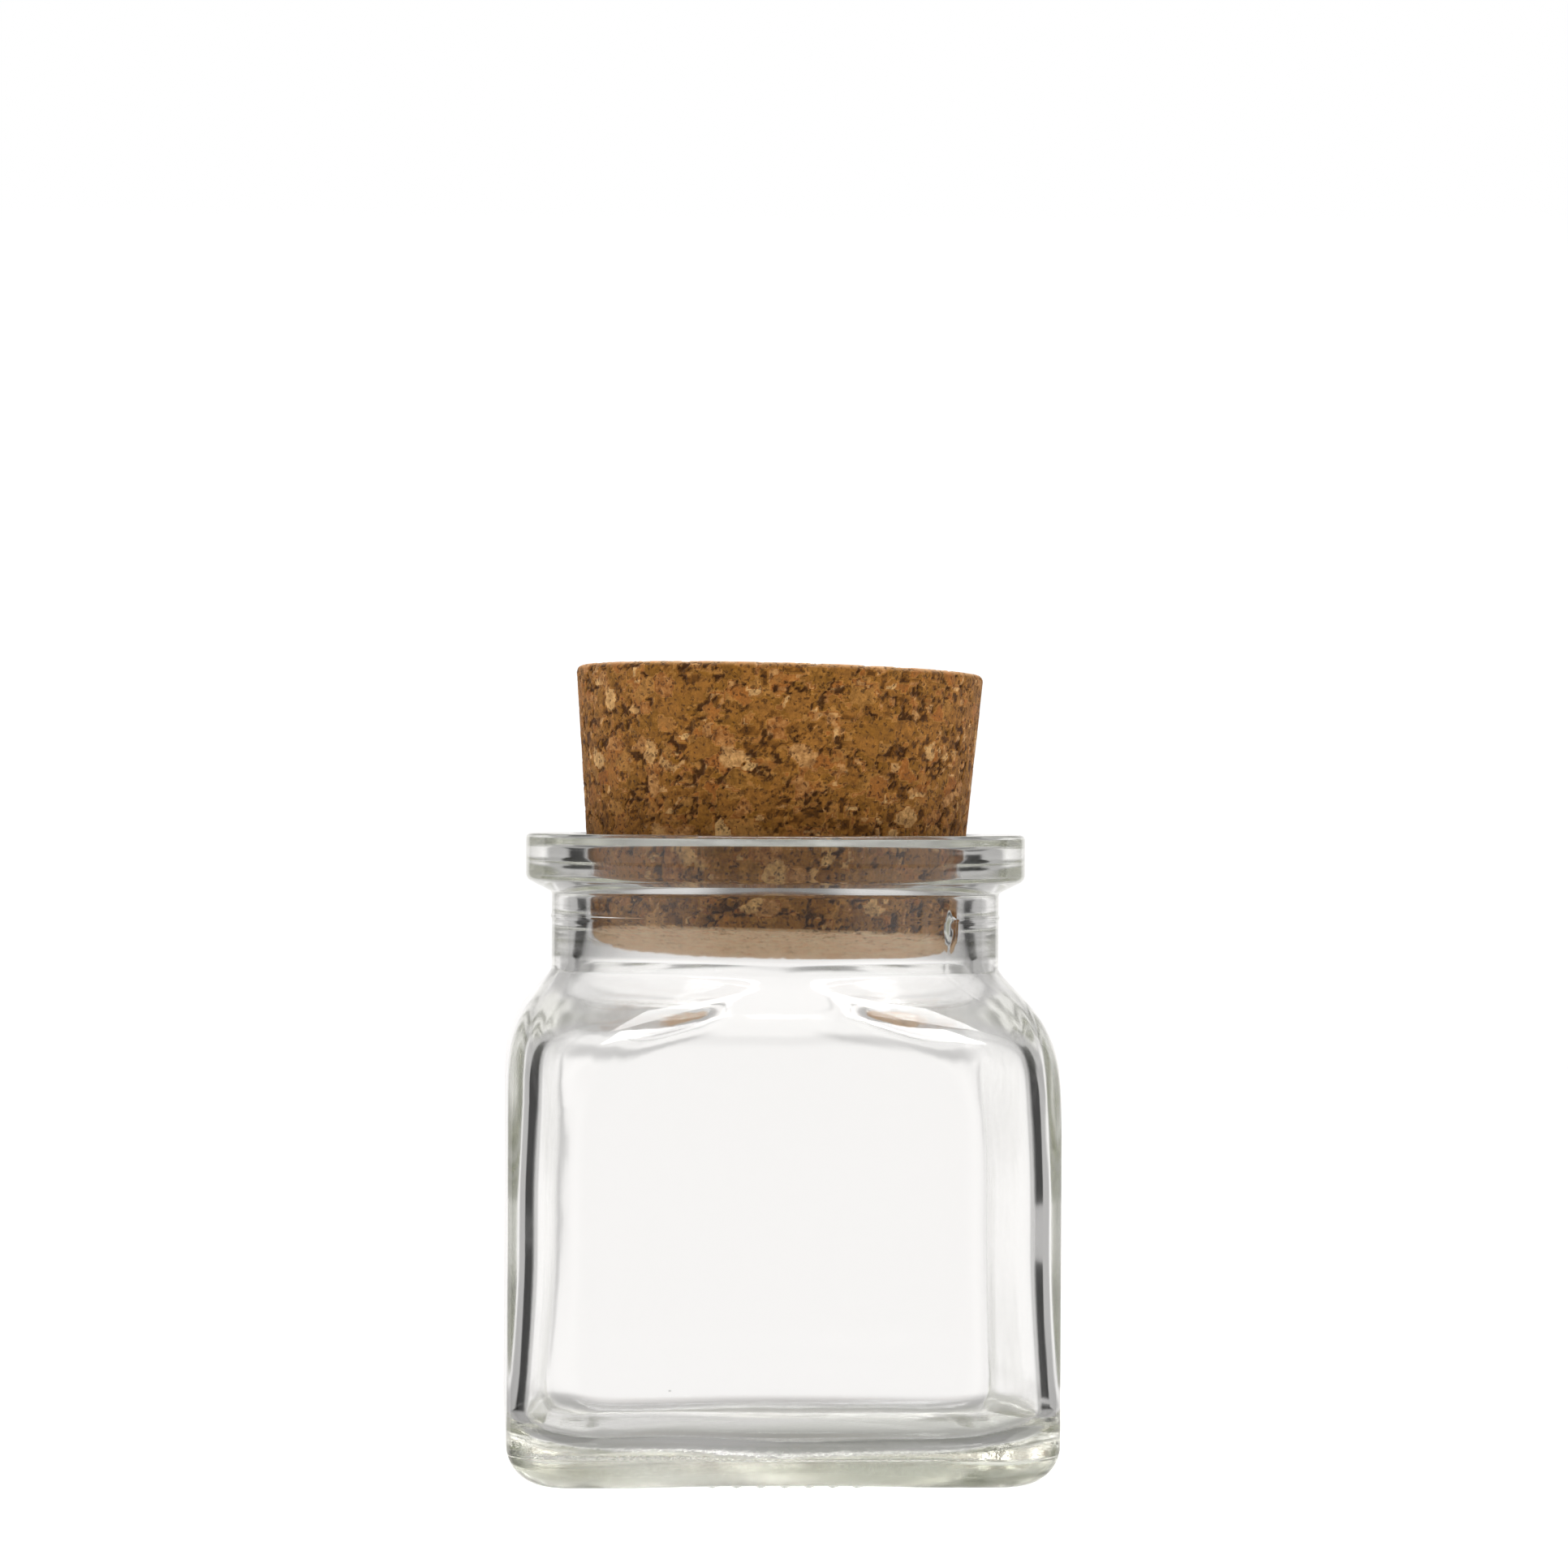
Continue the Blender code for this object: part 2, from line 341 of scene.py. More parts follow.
def rounded_path(corners, steps):
    """A line through (half width, height, radius) corners, each turned into an arc of its radius."""
    path = [np.array([corners[0][:2]])]
    for before, corner, after in zip(corners, corners[1:], corners[2:]):
        point = np.array(corner[:2])
        back = np.array(before[:2]) - point
        ahead = np.array(after[:2]) - point
        room = 0.49 * min(np.linalg.norm(back), np.linalg.norm(ahead))
        back = back / np.linalg.norm(back)
        ahead = ahead / np.linalg.norm(ahead)
        half_angle = math.acos(np.clip(back @ ahead, -1.0, 1.0)) / 2
        reach = min(corner[2] / math.tan(half_angle), room)
        radius = reach * math.tan(half_angle)
        middle = (back + ahead) / np.linalg.norm(back + ahead)
        centre = point + middle * radius / math.sin(half_angle)
        sweep = math.pi / 2 - half_angle
        side = (ahead - back) / np.linalg.norm(ahead - back)
        turn = np.linspace(-sweep, sweep, steps + 1)[:, None]
        path.append(centre - middle * radius * np.cos(turn) + side * radius * np.sin(turn))
    path.append(np.array([corners[-1][:2]]))
    return np.concatenate(path)


print(f"half width at mid shoulder: {outer_half(np.array(SIDE_HEIGHT + SHOULDER_HEIGHT / 2)):.2f} mm")

# %% [markdown]
# Under the jar the glass is pushed up a little, so that it stands on a narrow ring and not on its
# whole base. The ring carries small nubs, pressed by the mould, that keep the hot jar off the belt.

# %% Rows of the outside
BEARING_WIDTH = 2.4
PUSH_UP_WIDTH = 3.0
PUSH_UP_HEIGHT = 0.5
PUSH_UP_DOME = 0.25
RECESS_CORNER = 4.5
SMALLEST_RING = 0.03
MIDDLE_ROUNDNESS = 0.6


def base_rows():
    """Recess, slope and bearing ring: (half width, height, corner radius), from the middle outwards."""
    edge = BODY_HALF - HEEL_RADIUS
    foot = edge - BEARING_WIDTH
    top = foot - PUSH_UP_WIDTH
    dome = top * np.linspace(SMALLEST_RING, 1.0, 9)
    slope = np.linspace(top, foot, 7)[1:]
    ring = np.linspace(foot, edge, 8)[1:-1]
    half = np.concatenate([dome, slope, ring])
    push_up = PUSH_UP_HEIGHT * (1.0 - smoothstep(half, top, foot))
    dome_rise = PUSH_UP_DOME * np.clip(1.0 - (half / top) ** 2, 0.0, 1.0)
    corner = RECESS_CORNER + smoothstep(half, foot, edge) * (BODY_CORNER - HEEL_RADIUS - RECESS_CORNER)
    return np.stack([half, push_up + dome_rise, np.minimum(corner, half * MIDDLE_ROUNDNESS)], axis=1)


def heel_rows(steps=15):
    """A quarter circle from the bearing ring up to the side."""
    turn = np.linspace(0.0, math.pi / 2, steps)
    half = BODY_HALF - HEEL_RADIUS + HEEL_RADIUS * np.sin(turn)
    height = HEEL_RADIUS * (1.0 - np.cos(turn))
    return np.stack([half, height, BODY_CORNER - BODY_HALF + half], axis=1)


def side_heights(side_steps=24, shoulder_steps=36):
    """Heights of the rings on the side and the shoulder, closer together where the shoulder turns fast."""
    side = np.linspace(HEEL_RADIUS, SIDE_HEIGHT, side_steps)[1:-1]
    share = np.linspace(0.0, 1.0, shoulder_steps)
    return np.concatenate([side, SIDE_HEIGHT + SHOULDER_HEIGHT * (1.35 * share - 0.35 * share**2)])


def wall_rows():
    """The side and the shoulder, up to the foot of the neck."""
    height = side_heights()
    return np.stack([outer_half(height), height, outer_corner(height)], axis=1)


print("foot and wall rows:", len(base_rows()) + len(heel_rows()) + len(wall_rows()))

# %% [markdown]
# The mouth is finished by a tool that turns in it while the glass is soft. It leaves a small slope
# inside the rim, and below that a shallow groove that the cork slides past. From the groove down
# the bore narrows a little, to grip the cork, and near the cork's foot it opens again. The slope
# shows as a pale band along the rim and the groove as a pale strip under the bead, so both are real.

# %% Rows of the neck and the mouth
SEAM_HEIGHT = 52.45
SEAM_STEP = 0.14


def neck_and_rim_rows():
    """The neck, with close rings where its seam runs, the undercut bead and the mouth down to the bore."""
    seam = SEAM_HEIGHT + SEAM_STEP * np.arange(-3, 4)
    neck = np.concatenate([[49.0, 50.0, 50.6, 51.2, 51.8], seam, [53.3]])
    corners = [
        (NECK_RADIUS, 53.6, 0.0),
        (NECK_RADIUS, NECK_TOP, NECK_FILLET),
        (RIM_RADIUS, RIM_FOOT, RIM_EDGE_RADIUS),
        (RIM_RADIUS, JAR_HEIGHT, RIM_TOP_RADIUS),
        (BORE_RADIUS + MOUTH_WIDTH, JAR_HEIGHT, MOUTH_TOP_RADIUS),
        (BORE_RADIUS, JAR_HEIGHT - MOUTH_DEPTH, MOUTH_FOOT_RADIUS),
        (BORE_RADIUS, BORE_TOP, 0.0),
    ]
    bore = np.linspace(BORE_TOP - 0.2, BORE_FOOT, 24)
    groove = np.clip((GROOVE_TOP - bore) / (GROOVE_TOP - GROOVE_DEEPEST), 0.0, 1.0)
    groove = groove * smoothstep(bore, GROOVE_FOOT, GROOVE_DEEPEST)
    choke = (BORE_RADIUS - NECK_RADIUS + NECK_WALL) * (1.0 - smoothstep(bore, BORE_FOOT, BORE_NARROWS))
    path = np.concatenate([
        np.stack([np.full(len(neck), NECK_RADIUS), neck], axis=1),
        rounded_path(corners, 8),
        np.stack([BORE_RADIUS + MOUTH_GROOVE * groove - choke, bore], axis=1),
    ])
    return np.column_stack([path, path[:, 0]])


print(f"neck and mouth rows: {len(neck_and_rim_rows())}, bore {2 * BORE_RADIUS:.1f} mm wide at its top")

# %% [markdown]
# ## The inside of the jar
#
# Only the outside touches the mould. The inside is shaped by blown air, so the wall is thin low on
# the side and twice as thick in the shoulder, its corners begin softly, and the floor is a little
# wavy. The wall's thickness decides where the dark edges of the studio show as upright lines, and
# its unevenness bends them, which is what makes glass look like glass.

# %% Rows of the inside
WALL_LOW = 1.3
WALL_MIDDLE = 2.15
WALL_HIGH = 2.7
NECK_FOOT_WALL = 2.45
FLOOR_HEIGHT = 3.3
INNER_HEEL = 4.2
FLOOR_CORNER = 5.5
SHOULDER_FILL = 0.2
SIDE_THICKENS = (2.0, 22.0)
SHOULDER_THICKENS = (26.0, 41.0)
SHOULDER_FILLS = (39.0, 47.0)
NECK_BLENDS = (45.0, 48.5)


def wall_thickness(height):
    """Thickness of the glass: thin low on the side, thicker towards the shoulder, thickest at the bore."""
    low = WALL_LOW + (WALL_MIDDLE - WALL_LOW) * smoothstep(height, *SIDE_THICKENS)
    high = low + (WALL_HIGH - WALL_MIDDLE) * smoothstep(height, *SHOULDER_THICKENS)
    high = high + SHOULDER_FILL * smoothstep(height, *SHOULDER_FILLS)
    share = np.clip((height - NECK_FOOT) / (BORE_FOOT - NECK_FOOT), 0.0, 1.0)
    neck = NECK_FOOT_WALL + (NECK_WALL - NECK_FOOT_WALL) * share
    return high + (neck - high) * smoothstep(height, *NECK_BLENDS)


def inner_rows():
    """The inner wall from the bore down, each point set in square to the outer wall."""
    neck = np.linspace(BORE_FOOT, NECK_FOOT, 9)[1:-1]
    height = np.concatenate([neck, side_heights()[::-1]])
    height = height[height > FLOOR_HEIGHT + INNER_HEEL + 1.5]
    probe = 0.05
    slope = (outer_half(height + probe) - outer_half(height - probe)) / (2 * probe)
    length = np.sqrt(1.0 + slope**2)
    wall = wall_thickness(height)
    half = outer_half(height) - wall / length
    corner = outer_corner(height) - wall / length
    return np.stack([half, height + wall * slope / length, np.minimum(corner, half)], axis=1)


def floor_rows(steps=14):
    """The inner heel, a quarter circle from the wall's inner face, and the floor in to the middle."""
    last_half = BODY_HALF - WALL_LOW
    turn = np.linspace(0.0, math.pi / 2, steps)
    heel = last_half - INNER_HEEL + INNER_HEEL * np.cos(turn)
    height = FLOOR_HEIGHT + INNER_HEEL * (1.0 - np.sin(turn))
    floor = heel[-1] * np.linspace(1.0, SMALLEST_RING, steps)[1:]
    half = np.concatenate([heel, floor])
    height = np.concatenate([height, np.full(len(floor), FLOOR_HEIGHT)])
    return np.stack([half, height, np.minimum(FLOOR_CORNER, half * MIDDLE_ROUNDNESS)], axis=1)


inside = np.concatenate([inner_rows(), floor_rows()])
print(f"inside rows: {len(inside)}, floor {FLOOR_HEIGHT} mm up")

# %% [markdown]
# ## Marks of the mould
#
# A jar comes out of a mould in two halves with a separate ring for the neck. Where those meet they
# leave a fine raised line: up one corner, down the opposite one, and round the neck. Next to the
# neck line the front right corner has a small drop of glass where the halves let some through.

# %% Relief on the outside and waves on the inside
SEAM_ANGLES = (math.radians(-45.0), math.radians(135.0))
SEAM_RELIEF = 0.01
SEAM_WIDTH = 0.28
SEAM_BEGINS = (1.5, 5.0)
NECK_SEAM_RELIEF = 0.13
NECK_SEAM_WIDTH = 0.16
NECK_SEAM_PATCHES = (0.35, 0.75)
DROP_ANGLE = math.radians(-43.0)
DROP_HEIGHT = 51.75
DROP_HALF_WIDTH = 0.75
DROP_HALF_LENGTH = 1.25
DROP_RELIEF = 0.3
DROP_EDGE = (0.35, 1.3)
NUB_SPACING = 2.24
NUB_GAP = 0.01
NUB_ROW_ENDS = (8.2, 8.8)
RING_LIFT = 0.08
RING_BOW = 0.2
RING_BOW_FADES = (4.0, 16.0)
RING_INNER_EDGE = (19.6, 20.2)
RING_OUTER_EDGE = (21.4, 22.4)
PANEL_SINK = 0.06
PANEL_MIDDLE = 19.0
PANEL_HALF_HEIGHT = (6.0, 15.0)
PANEL_HALF_TURN = (0.25, 0.6)
FLOOR_WAVE = 0.35
LONG_WAVE = 0.015
SHORT_WAVE = 0.002
SHOULDER_WAVE = 0.006


def angle_gap(angle, other):
    """The smallest turn between two angles."""
    return np.abs(np.mod(angle - other + math.pi, 2 * math.pi) - math.pi)


def angle_to_side(angle):
    """The turn from the middle of the nearest side."""
    return np.abs(np.mod(angle + math.pi / 4, math.pi / 2) - math.pi / 4)


def outside_relief(angle, radius, height):
    """How far the outside stands proud: upright seams, the neck's seam and its drop, less the sunk panels."""
    relief = np.zeros_like(radius)
    upright = smoothstep(height, *SEAM_BEGINS) * (1.0 - smoothstep(height, NECK_TOP - 1.0, NECK_TOP))
    for seam in SEAM_ANGLES:
        relief += SEAM_RELIEF * upright * np.exp(-((angle_gap(angle, seam) * radius / SEAM_WIDTH) ** 2))
    patchy = smoothstep(np.abs(np.cos(angle)), *NECK_SEAM_PATCHES)
    relief += NECK_SEAM_RELIEF * patchy * np.exp(-(((height - SEAM_HEIGHT) / NECK_SEAM_WIDTH) ** 2))
    across = angle_gap(angle, DROP_ANGLE) * radius / DROP_HALF_WIDTH
    along = (height - DROP_HEIGHT) / DROP_HALF_LENGTH
    relief += DROP_RELIEF * (1.0 - smoothstep(across**2 + along**2, *DROP_EDGE)) * (height > NECK_FOOT)
    panel = 1.0 - smoothstep(np.abs(height - PANEL_MIDDLE), *PANEL_HALF_HEIGHT)
    panel = panel * (1.0 - smoothstep(angle_to_side(angle), *PANEL_HALF_TURN))
    return relief - PANEL_SINK * panel


def ring_relief(angle, half):
    """Height of the bearing ring above the table: a bow along each side, which a row of nubs fills."""
    along = half * np.tan(angle_to_side(angle))
    bow = RING_LIFT + RING_BOW * (1.0 - smoothstep(along, *RING_BOW_FADES))
    on_ring = smoothstep(half, *RING_INNER_EDGE) * (1.0 - smoothstep(half, *RING_OUTER_EDGE))
    nub = np.clip(np.cos(2 * math.pi * along / NUB_SPACING), 0.0, 1.0)
    nub = nub * (1.0 - smoothstep(along, *NUB_ROW_ENDS))
    return bow - (bow - NUB_GAP) * nub * on_ring


def inside_waves(points):
    """Uneven glass: long waves all over the inner wall, and tighter ones, mostly in the shoulder."""
    high = smoothstep(points[..., 2], 33.0, 40.0) * (1.0 - smoothstep(points[..., 2], 45.0, 47.0))
    long_waves = soft_noise(points * (1.0, 1.0, 0.6), 9.0, 11)
    short_waves = soft_noise(points, 3.6, 12)
    return LONG_WAVE * long_waves + (SHORT_WAVE + SHOULDER_WAVE * high) * short_waves


print(f"seams {SEAM_RELIEF} mm proud, nubs every {NUB_SPACING} mm, panels sunk {PANEL_SINK} mm")

# %% [markdown]
# ## One closed skin of glass
#
# Light only bends as it should when the glass is a closed volume, with an outside, a lip, an inside
# and a floor. The rows are stacked in that order, and the two holes that are left, one under the
# jar and one on its floor, are closed by a fan of triangles round one point each.

# %% The jar's points
outside = np.concatenate([base_rows(), heel_rows(), wall_rows(), neck_and_rim_rows()])
OUTSIDE_COUNT = len(outside)
ROWS = np.concatenate([outside, inside])
half, height, corner = (column[:, None] for column in ROWS.T)
angle = COLUMNS[None, :]
row_number = np.arange(len(ROWS))[:, None]
is_outside = row_number < OUTSIDE_COUNT
on_base = row_number < len(base_rows()) + len(heel_rows())
radius = np.where(is_outside, ring_radius(angle, half, corner), softened(angle, half, corner))

rise = np.broadcast_to(height, radius.shape).copy()
base_fade = 1.0 - smoothstep(rise, 0.0, HEEL_RADIUS)
rise += np.where(on_base, ring_relief(angle, np.broadcast_to(half, radius.shape)) * base_fade, 0.0)
has_relief = is_outside & (height > 2.0) & (radius > BORE_RADIUS + 1.0)
radius = radius + np.where(has_relief, outside_relief(angle, radius, rise), 0.0)

points = np.stack([radius * np.cos(angle), radius * np.sin(angle), rise], axis=-1)
waves = inside_waves(points) * ~is_outside * smoothstep(BORE_FOOT - rise, 0.0, 3.0)
on_floor = ~is_outside & (height < FLOOR_HEIGHT + INNER_HEEL * 0.4)
side_waves = np.where(on_floor, 0.0, waves)
points[..., 0] += side_waves * np.cos(angle)
points[..., 1] += side_waves * np.sin(angle)
low_inside = ~is_outside * (1.0 - smoothstep(height, FLOOR_HEIGHT, FLOOR_HEIGHT + 2.0 * INNER_HEEL))
points[..., 2] += FLOOR_WAVE * low_inside * soft_noise(points * (1.0, 1.0, 0.0), 12.0, 13)
print(f"grid of {len(ROWS)} rows and {len(COLUMNS)} columns")

# %% [markdown]
# ## Clear glass
#
# Soda-lime glass bends light by 1.52 and is faintly green where it is thick, which shows in the lip
# and the base and hardly in the walls. The green is in the volume, so thin and thick places differ
# by themselves. The surface gets what a finger feels: a faint ripple and a breath of haze from the
# mould, a stippled floor, and a few seeds, the tiny bubbles that cheap glass has. The base cooled
# last and shows cords, level streaks of denser glass, which are bumps. The base also gets a painted
# grey-green shade, laid in the cords' streaks, for the dimmer light that comes through it.
# Shadow rays go straight through, because a lamp's light would otherwise need far too many samples
# to find its way in.

# %% Glass
GLASS_TINT = (0.885, 0.9, 0.79, 1.0)
GLASS_DENSITY = 11.0
CLEAR = (1.0, 1.0, 1.0, 1.0)
# Painted shade: a grey-green tint that darkens the glass base.
BASE_SHADE_TINT = (0.7, 0.722, 0.645, 1.0)
CORD_STRETCH = (0.12, 0.12, 1.2)
CORD_RELIEF = 1.1
RIPPLE_RELIEF = 0.03
SEED_RELIEF = 0.04
STIPPLE_RELIEF = 0.12
GLASS_ROUGHNESS = 0.055
HAZE_ROUGHNESS = 0.02


def noise(graph, place, scale, detail, roughness=0.5):
    """Cloudy noise from 0 to 1 at a place in millimetres."""
    values = {"Vector": place, "Scale": scale, "Detail": detail, "Roughness": roughness}
    return graph.add("TexNoise", None, values)


def glass_material():
    """Transparent glass with an absorbing volume, a rippled surface, a few seeds, cords in its base, and
    painted grey-green shade in the base.
    """
    material, graph = new_material("clear_glass")
    place = graph.place_in_mm()
    rise = graph.add("SeparateXYZ", None, {0: place}, output="Z")
    ripple = noise(graph, place, 0.22, 2.0, 0.4)
    haze = noise(graph, place, 0.5, 4.0, 0.6)
    stipple = noise(graph, place, 1.3, 3.0, 0.6)
    flow = noise(graph, graph.place_in_mm(CORD_STRETCH), 0.32, 1.0, 0.4)
    seeds = graph.add("TexVoronoi", None, {"Vector": place, "Scale": 0.11})
    seed_dent = 1.0 - seeds.between(0.006, 0.022)
    on_floor = rise.between(2.9, 3.1) * (1.0 - rise.between(3.9, 4.8))
    in_base = 1.0 - rise.between(2.4, 3.4)
    near_base = 1.0 - rise.between(3.0, 6.5)
    # Painted shade in the base: all of the base takes a quarter of the tint, and the cords' streaks take the
    # rest.
    cord_streaks_and_base_shade = graph.mix(in_base * (flow.between(0.4, 0.6) * 0.75 + 0.25), CLEAR, BASE_SHADE_TINT)
    height = ripple * RIPPLE_RELIEF + seed_dent * SEED_RELIEF
    height = height + stipple * on_floor * STIPPLE_RELIEF + flow * near_base * CORD_RELIEF
    normal = graph.add("Bump", None, {"Height": height, "Strength": 0.35, "Distance": MM})
    surface = graph.add("BsdfPrincipled", None, {
        "Base Color": cord_streaks_and_base_shade,
        "Roughness": haze.between(0.4, 0.8) * HAZE_ROUGHNESS + GLASS_ROUGHNESS,
        "Transmission Weight": 1.0,
        "IOR": 1.52,
        "Normal": normal,
    })
    shadow = graph.add("LightPath", output="Is Shadow Ray")
    clear = graph.add("BsdfTransparent", None, {"Color": (0.93, 0.95, 0.93, 1.0)})
    shader = graph.add("MixShader", None, {0: shadow, 1: surface, 2: clear})
    volume = graph.add("VolumeAbsorption", None, {"Color": GLASS_TINT, "Density": GLASS_DENSITY})
    graph.add("OutputMaterial", None, {"Surface": shader, "Volume": volume})
    return material


glass = glass_material()
print("glass absorbs", GLASS_DENSITY, "per metre times", [round(1 - c, 2) for c in GLASS_TINT[:3]])

# %% The jar
def close_with_fan(points, ring, flip):
    """Triangles from a ring of points to one new point at its middle."""
    middle = points[ring].mean(axis=0, keepdims=True)
    ahead = np.roll(ring, -1)
    centre = np.full(len(ring), len(points))
    order = (ahead, ring, centre) if flip else (ring, ahead, centre)
    return np.concatenate([points, middle]), np.stack(order, axis=1)


flat_points = points.reshape(-1, 3)
quads = grid_faces(len(ROWS), len(COLUMNS))
first_ring = np.arange(len(COLUMNS))
last_ring = first_ring + (len(ROWS) - 1) * len(COLUMNS)
flat_points, under_fan = close_with_fan(flat_points, first_ring, flip=True)
flat_points, floor_fan = close_with_fan(flat_points, last_ring, flip=False)
fans = np.concatenate([under_fan, floor_fan])
print(f"glass: {(signed_volume(flat_points, quads) + signed_volume(flat_points, fans)) / 1000:.2f} cm3")
jar = make_piece("square_glass_jar", flat_points, quads, fans, glass)
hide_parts("glass_jar")
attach(jar, "jar")

# %% [markdown]
# ## The cork
#
# The stopper isn't one piece of bark: granules of a millimetre or two are glued under pressure and
# the block is ground to a cone. Grinding tears crumbs out along the joints, so the surface has
# little dark gaps. A Voronoi pattern is the natural model of packed granules, in space and not on
# the surface, so that a granule that shows on the side goes on over the edge of the top. The cork
# stands in the mouth with a small lean, as a hand leaves it.

# %% Sizes of the cork
CORK_HEIGHT = 25.0
CORK_DEPTH = 9.3
CORK_TAPER = math.radians(4.9)
CORK_TOP_RADIUS = 0.6
CORK_BOTTOM_RADIUS = 0.4
CORK_LEAN = math.radians(1.8)
CORK_LEAN_AZIMUTH = math.radians(45.0)
SEAT_CLEARANCE = 0.3
SEAT_HEIGHT = JAR_HEIGHT - 1.0
CORK_COLUMNS = 480
CORK_EDGE_STEPS = 5
CORK_SIDE_STEPS = 98
cork_low, cork_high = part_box("cork_stopper")
print(f"cork from {cork_low.z / MM:.2f} to {cork_high.z / MM:.2f} mm above the table")


def cork_radius(height):
    """Radius of the cone at a height above the seat: the seat's radius plus height times tan(taper)."""
    return (BORE_RADIUS - SEAT_CLEARANCE) * math.cos(CORK_LEAN) + height * math.tan(CORK_TAPER)


# %% [markdown]
# The side is a grid like the jar's. A flat end is harder: rings that shrink to a middle point crowd
# there. A square grid folded into a disc has even faces instead: each square of the grid becomes a
# circle, and its outermost circle is the last ring of the side.

# %% The cork's side and ends
def disc_grid(steps):
    """A square grid folded into a disc: the ring's number gives the radius, the place along it the angle."""
    index = np.arange(-steps, steps + 1)
    x, y = np.meshgrid(index, index, indexing="ij")
    ring = np.maximum(np.abs(x), np.abs(y))
    safe = np.maximum(ring, 1)
    right = (x == ring) & (y < ring)
    top = (y == ring) & (x > -ring)
    left = (x == -ring) & (y > -ring)
    turn = np.where(right, y, np.where(top, 2 * ring - x, np.where(left, 4 * ring - y, 6 * ring + x)))
    angle = turn / safe * math.pi / 4
    return ring / steps, np.mod(angle, 2 * math.pi)


def end_cap(height, edge_radius, ring_start, first_index, facing_up):
    """Points and faces of one flat end, whose outermost points are those of the side's ring."""
    steps = CORK_COLUMNS // 8
    share, angle = disc_grid(steps)
    x = edge_radius * share * np.cos(angle)
    y = edge_radius * share * np.sin(angle)
    inner = share < 1.0
    index = np.zeros(share.shape, int)
    index[inner] = first_index + np.arange(inner.sum())
    around = np.round(angle[~inner] / (2 * math.pi) * CORK_COLUMNS).astype(int) % CORK_COLUMNS
    index[~inner] = ring_start + around
    corners = [index[:-1, :-1], index[1:, :-1], index[1:, 1:], index[:-1, 1:]]
    quads = np.stack(corners, axis=-1).reshape(-1, 4)
    if not facing_up:
        quads = quads[:, ::-1]
    return np.stack([x[inner], y[inner], np.full(inner.sum(), height)], axis=1), quads


bottom = JAR_HEIGHT - CORK_DEPTH - SEAT_HEIGHT
top = bottom + CORK_HEIGHT
profile = rounded_path([
    (0.0, bottom, 0.0),
    (cork_radius(bottom), bottom, CORK_BOTTOM_RADIUS),
    (cork_radius(top), top, CORK_TOP_RADIUS),
    (0.0, top, 0.0),
], CORK_EDGE_STEPS)[1:-1]
lower, upper = np.split(profile, 2)
straight = np.linspace(lower[-1], upper[0], CORK_SIDE_STEPS)[1:-1]
profile = np.concatenate([lower, straight, upper])
around = np.arange(CORK_COLUMNS) / CORK_COLUMNS * 2 * math.pi
side = np.stack([
    profile[:, :1] * np.cos(around),
    profile[:, :1] * np.sin(around),
    np.repeat(profile[:, 1:], CORK_COLUMNS, axis=1),
], axis=-1).reshape(-1, 3)
side_quads = grid_faces(len(profile), CORK_COLUMNS)
under, under_quads = end_cap(bottom, profile[0, 0], 0, len(side), facing_up=False)
top_ring = (len(profile) - 1) * CORK_COLUMNS
over, over_quads = end_cap(top, profile[-1, 0], top_ring, len(side) + len(under), facing_up=True)
cork_points = np.concatenate([side, under, over])
cork_quads = np.concatenate([side_quads, under_quads, over_quads])
print(f"plain cork: {signed_volume(cork_points, cork_quads) / 1000:.2f} cm3")

# %% [markdown]
# The granules are cells: every point of the cork belongs to its nearest seed. A joint lies where
# the second nearest seed is almost as near, and a corner of three granules where the third is, which
# is where grinding tears out most. Big granules and fine crumbs are two such patterns, and each big
# cell is either left whole or filled with crumbs. A little noise bends the cells, so that no joint
# is straight, and another noise closes some of the gaps.

# %% Granules
GRANULE = 2.1
CRUMB = 0.95
WHOLE_SHARE = 0.4
TORN_SHARE = 0.008
PIT_WIDTH = (0.07, 0.36)
JOINT_WIDTH = (0.02, 0.18)
JOINT_DEPTH = 0.6


def nearest_seeds(points, size, seed):
    """Distances to the three nearest seeds, and a random number of the nearest one.

    Each cube of a lattice of that size holds one seed at a random place, so 27 cubes are searched.
    """
    rng = np.random.default_rng(seed)
    offsets = rng.uniform(0.05, 0.95, (LATTICE, LATTICE, LATTICE, 3))
    labels = rng.uniform(0.0, 1.0, (LATTICE,) * 3)
    place = points / size + LATTICE_SHIFT
    cell = np.floor(place).astype(int)
    first, second, third = np.full((3, len(points)), 9.0)
    label = np.zeros(len(points))
    for step in np.ndindex(3, 3, 3):
        cube = cell + np.array(step) - 1
        x, y, z = (cube % LATTICE).T
        distance = np.linalg.norm(cube + offsets[x, y, z] - place, axis=1)
        closer = distance < first
        third = np.minimum(third, np.maximum(second, distance))
        second = np.minimum(second, np.maximum(first, distance))
        label = np.where(closer, labels[x, y, z], label)
        first = np.minimum(first, distance)
    return first, second, third, label


def bend(points, amount, size, seed):
    """Points moved by noise, so that a pattern read there has bent edges."""
    shift = [soft_noise(points, size, seed + axis) for axis in range(3)]
    return points + amount * np.stack(shift, axis=-1)


